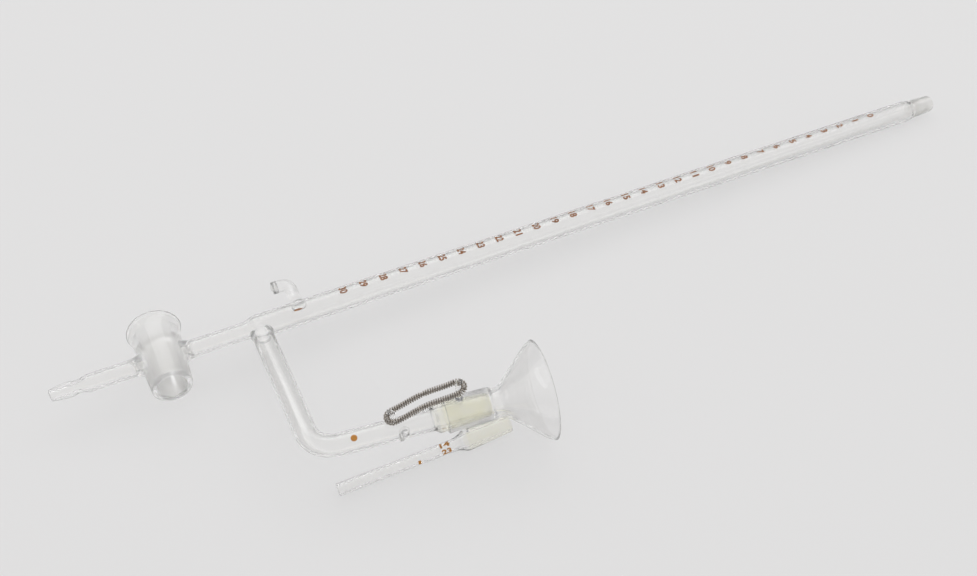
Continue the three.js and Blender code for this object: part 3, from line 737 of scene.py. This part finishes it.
class BURETTE_OT_spring(bpy.types.Operator):
    """Wind the endless retaining spring round the two far horns"""
    bl_idname = "burette.spring"
    bl_label = "Retaining Spring"

    def execute(self, context):
        look = context.scene.burette_spring
        coil, wire = look.coil / MM, look.wire / MM
        point, total, flat, first, second = spring_line()
        steps, sides = 14, 8
        near = 0.05
        pinch, pinch_width = 0.3, 0.7
        count = look.turns * steps
        line = []
        for i in range(count):
            distance = total * i / count
            tangent = (point(distance + near) - point(distance - near)).normalized()
            side = tangent.cross(flat).normalized()
            angle = 2 * math.pi * i / steps
            from_join = min(distance, total - distance)
            reach = coil * (1 - pinch * math.exp(-(from_join / pinch_width) ** 2))
            line.append(point(distance) + flat * reach * math.cos(angle)
                        + side * reach * math.sin(angle))
        mesh = bmesh.new()
        rings = []
        for i, place in enumerate(line):
            tangent = (line[(i + 1) % count] - line[i - 1]).normalized()
            out = (place - point(total * i / count)).normalized()
            out = (out - tangent * out.dot(tangent)).normalized()
            up = tangent.cross(out)
            rings.append([
                mesh.verts.new(place + wire * (math.cos(a) * out + math.sin(a) * up))
                for a in (2 * math.pi * k / sides for k in range(sides))])
        for low, high in zip(rings, rings[1:] + rings[:1]):
            join_rings(mesh, low, high)
        bmesh.ops.recalc_face_normals(mesh, faces=mesh.faces)
        data = finished("spring_coil", mesh)
        data.transform(ARM)
        obj = piece("spring_coil", data)
        smooth(obj, 80)
        obj.data.materials.append(bpy.data.materials["spring_wire"])
        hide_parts("retaining_spring")
        ARM @ first
        ARM @ second
        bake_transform(obj)
        return {"FINISHED"}


def wrapped(mesh, radius, at, turn):
    """Bends flat marks, +Y along the tube, round the tube at a place and turn about it."""
    for vert in mesh.verts:
        across, along = vert.co.x, vert.co.y
        a = turn + across / radius
        vert.co = Vector((at + along, radius * math.sin(-a), radius * math.cos(a)))


def figure_mesh(text, height, width):
    """The plain figures of a number, standing along +Y, as thin flat faces."""
    curve = bpy.data.curves.new("figure", "FONT")
    curve.body = text
    curve.align_x = "CENTER"
    curve.align_y = "CENTER"
    curve.offset = 0.04
    curve.resolution_u = 6
    obj = piece("figure", curve)
    bpy.context.view_layer.update()
    data = bpy.data.meshes.new_from_object(obj.evaluated_get(
        bpy.context.evaluated_depsgraph_get()))
    bpy.data.objects.remove(obj)
    mesh = bmesh.new()
    mesh.from_mesh(data)
    bpy.data.meshes.remove(data)
    low = [min(v.co[k] for v in mesh.verts) for k in (0, 1)]
    high = [max(v.co[k] for v in mesh.verts) for k in (0, 1)]
    for vert in mesh.verts:
        vert.co.x = (vert.co.x - (low[0] + high[0]) / 2) / (high[0] - low[0]) * width
        vert.co.y = (vert.co.y - (low[1] + high[1]) / 2) / (high[1] - low[1]) * height
        vert.co.z = 0
    bmesh.ops.triangulate(mesh, faces=mesh.faces)
    bmesh.ops.subdivide_edges(
        mesh, edges=[e for e in mesh.edges if e.calc_length() > 0.5], cuts=2)
    return mesh


def line_mesh(thickness, from_side, to_side, radius):
    """A thin line across the tube between two turns about it, in radians."""
    mesh = bmesh.new()
    steps = max(2, int(abs(to_side - from_side) / 0.12))
    rows = []
    for k in range(steps + 1):
        across = radius * (from_side + (to_side - from_side) * k / steps)
        rows.append([mesh.verts.new((across, s * thickness / 2, 0)) for s in (-1, 1)])
    for low, high in zip(rows, rows[1:]):
        mesh.faces.new((low[0], high[0], high[1], low[1]))
    return mesh


def spot_mesh(along, across):
    """A flat oval spot."""
    sides = 28
    mesh = bmesh.new()
    rings = [[mesh.verts.new((0, 0, 0))]]
    for share in (0.35, 0.7, 1):
        rings.append([
            mesh.verts.new((across * share * math.cos(a), along * share * math.sin(a), 0))
            for a in (2 * math.pi * k / sides for k in range(sides))])
    for low, high in zip(rings, rings[1:]):
        join_rings(mesh, low, high)
    return mesh


def fired(name, parts, matrix, body, enamel="amber_enamel"):
    """Enamel marks, and the painted glint at the hook's foot, bent round their glass already, as
    one thin piece that rides on a body.
    """
    whole = bmesh.new()
    for part in parts:
        add_to(whole, part)
    bmesh.ops.recalc_face_normals(whole, faces=whole.faces)
    data = finished(name, whole)
    data.transform(matrix)
    obj = piece(name, data)
    obj.data.materials.append(bpy.data.materials[enamel])
    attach(obj, body)


def add_to(whole, part):
    """Moves a mark into the whole set of marks."""
    data = finished("part", part)
    whole.from_mesh(data)
    bpy.data.meshes.remove(data)


class BURETTE_OT_scale(bpy.types.Operator):
    """Fire the scale's lines and plain figures onto the tube"""
    bl_idname = "burette.scale"
    bl_label = "Scale"

    def execute(self, context):
        look = context.scene.burette_scale
        radius = TUBE_R + MARK_LIFT
        facing = math.radians(4.5)
        one, single = 0.26, 0.62
        lines = 10
        parts = []
        for k in range(DIVISIONS + 1):
            wide = look.figure_width / MM * (1 if k > 9 else one if k == 1 else single)
            figure = figure_mesh(str(k), look.figure_height / MM, wide)
            wrapped(figure, radius, -DIVISION * k, facing)
            parts.append(figure)
        for k in range(DIVISIONS * lines + 1):
            reach = 1.35 if k % lines == 0 else 0.95 if k % 5 == 0 else 0.82
            line = line_mesh(look.line / MM, -reach, -0.52, radius)
            wrapped(line, radius, -DIVISION * k / lines, facing)
            parts.append(line)
        fired("scale_marks", parts, BURETTE, "burette")
        return {"FINISHED"}


class BURETTE_OT_marks(bpy.types.Operator):
    """Fire a spot onto the arm, a painted glint onto the tube at the hook's foot, and the plain
    figures and a bar onto the loose stem
    """
    bl_idname = "burette.marks"
    bl_label = "Small Marks"

    def execute(self, context):
        spot = spot_mesh(1.6, 1.6)
        wrapped(spot, ARM_R + MARK_LIFT, 19.5, 0.469)
        fired("arm_spot", [spot], ARM, "burette", "pale_enamel")
        # Painted glint: a thin amber patch on the tube at the hook's foot, standing in for the
        # brownish glints seen through the hook's base
        patch = spot_mesh(2.4, 0.55)
        wrapped(patch, TUBE_R + MARK_LIFT, -371, 0.5)
        fired("hook_painted_glint", [patch], BURETTE, "burette")
        stem = STEM_R + MARK_LIFT
        upright = Matrix.Rotation(math.pi / 2, 3, "Z")
        parts = []
        for text, wide, turn in (("14", 5.2, -0.1), ("23", 5.0, 1.05)):
            figure = figure_mesh(text, 2.9, wide)
            bmesh.ops.rotate(figure, verts=figure.verts, matrix=upright)
            wrapped(figure, stem, 56.1, turn)
            parts.append(figure)
        bar = line_mesh(1.5, -0.35, 0.35, stem)
        wrapped(bar, stem, 41.7, 1.2)
        fired("stem_marks", [*parts, bar], LOOSE_CONE, "adaptor", "pale_enamel")
        return {"FINISHED"}


def aimed(name, data, place, target):
    """A lamp or a camera that looks from a place at a target."""
    obj = piece(name, data)
    obj.location = place
    obj.rotation_mode = "QUATERNION"
    obj.rotation_quaternion = (Vector(target) - obj.location).to_track_quat("-Z", "Y")
    return obj


class BURETTE_OT_stage(bpy.types.Operator):
    """Set the plain pale table, the soft light and the camera"""
    bl_idname = "burette.stage"
    bl_label = "Stage"

    def execute(self, context):
        look = context.scene.burette_stage
        bpy.ops.mesh.primitive_plane_add(size=12, location=(0, 0, -0.00005))
        table = context.object
        table.name = "table_top"
        material = bpy.data.materials.new("table_paint")
        g = Graph(material)
        mottle = g.noise(0.004, 2)
        pale = tuple(c * 1.02 for c in look.table)
        paint = g.add("ShaderNodeBsdfPrincipled", None, {
            "Base Color": g.mix(mottle, tuple(look.table), pale),
            "Roughness": 0.65, "Specular IOR Level": 0.2})
        plain = g.add("ShaderNodeEmission", None, {"Color": (*look.seen, 1), "Strength": 1.0})
        seen = g.add("ShaderNodeLightPath", output="Is Camera Ray")
        for kind in ("Is Glossy Ray", "Is Transmission Ray"):
            seen = seen.math("MAXIMUM", g.add("ShaderNodeLightPath", output=kind))
        top = g.add("ShaderNodeMixShader", None, {0: seen * look.evenness, 1: paint, 2: plain})
        g.add("ShaderNodeOutputMaterial", None, {"Surface": top})
        table.data.materials.append(material)
        world = bpy.data.worlds.new("surround")
        context.scene.world = world
        g = Graph(world)
        ray = g.add("ShaderNodeTexCoord", output="Generated")
        height = g.add("ShaderNodeSeparateXYZ", None, {0: ray}, "Z")
        shade = g.add("ShaderNodeValToRGB", {"stops": [
            (0.0, (0.45, 0.45, 0.45)), (0.12, (0.5, 0.5, 0.5)), (0.4, (0.62, 0.62, 0.62)),
            (0.9, (0.7, 0.7, 0.7))]}, {0: height})
        back = g.add("ShaderNodeBackground", None, {"Color": shade, "Strength": look.sky})
        g.add("ShaderNodeOutputWorld", None, {"Surface": back})
        for name, power, size, place in (
                ("key", look.key, (2.6, 0.75), (0.35, 0.75, 1.0)),
                ("fill", look.fill, (1.4, 0.12), (0.6, -0.7, 0.75)),
                ("edge", look.fill, (0.9, 0.12), (-1.0, 0.2, 0.6))):
            lamp = bpy.data.lights.new(name, "AREA")
            lamp.shape = "RECTANGLE"
            lamp.size, lamp.size_y = size
            lamp.energy = power
            aimed(name, lamp, place, LAMP_AIM)
        camera = bpy.data.cameras.new("camera")
        camera.sensor_width = CAMERA_SENSOR
        camera.lens = CAMERA_LENS
        context.scene.camera = aimed("camera", camera, CAMERA_AT, CAMERA_AIM)
        context.scene.view_settings.view_transform = "Standard"
        return {"FINISHED"}


class BURETTE_OT_finishes(bpy.types.Operator):
    """Make the glass, enamel and wire finishes"""
    bl_idname = "burette.finishes"
    bl_label = "Finishes"

    def execute(self, context):
        glass = context.scene.burette_glass
        scale = context.scene.burette_scale
        clear_glass("drawn_glass", tuple(glass.tint))
        ground_glass("ground_mouth_glass", (0.90, 0.89, 0.87), (0.82, 0.81, 0.77), 0.35, 0.5, 0.8)
        ground_glass("ground_joint_glass", tuple(glass.ground), tuple(glass.grease), 0.12, 0.22)
        ground_glass("ground_barrel_glass", (0.985, 0.975, 0.94), (0.965, 0.95, 0.9),
                     0.4, 0.52, 0.38)
        amber_enamel("amber_enamel", tuple(scale.colour), tuple(scale.dark))
        amber_enamel("pale_enamel", (0.62, 0.28, 0.045), (0.46, 0.18, 0.03))
        spring_steel("spring_wire", tuple(context.scene.burette_spring.colour))
        return {"FINISHED"}


class BURETTE_PT_panel(bpy.types.Panel):
    """Lists the sizes, colours and pieces"""
    bl_idname = "BURETTE_PT_panel"
    bl_label = "Burette"
    bl_space_type = "VIEW_3D"
    bl_region_type = "UI"
    bl_category = "Burette"

    def draw(self, context):
        for name in GROUPS:
            group = getattr(context.scene, name)
            for key in group.__annotations__:
                self.layout.prop(group, key)
        for operator in OPERATORS:
            self.layout.operator(operator.bl_idname)


GROUPS = {
    "burette_glass": BuretteGlass,
    "burette_scale": BuretteScale,
    "burette_spring": BuretteSpring,
    "burette_stage": BuretteStage,
}
OPERATORS = (
    BURETTE_OT_stage, BURETTE_OT_finishes, BURETTE_OT_glass, BURETTE_OT_funnel,
    BURETTE_OT_loose_cone, BURETTE_OT_spring, BURETTE_OT_scale, BURETTE_OT_marks,
)


def register():
    for cls in (*GROUPS.values(), *OPERATORS, BURETTE_PT_panel):
        bpy.utils.register_class(cls)
    for name, group in GROUPS.items():
        setattr(bpy.types.Scene, name, bpy.props.PointerProperty(type=group))


def unregister():
    for name in GROUPS:
        delattr(bpy.types.Scene, name)
    for cls in (BURETTE_PT_panel, *reversed(OPERATORS), *reversed(GROUPS.values())):
        bpy.utils.unregister_class(cls)


def main():
    register()
    for operator in OPERATORS:
        group, name = operator.bl_idname.split(".")
        getattr(getattr(bpy.ops, group), name)()


if __name__ == "__main__":
    main()
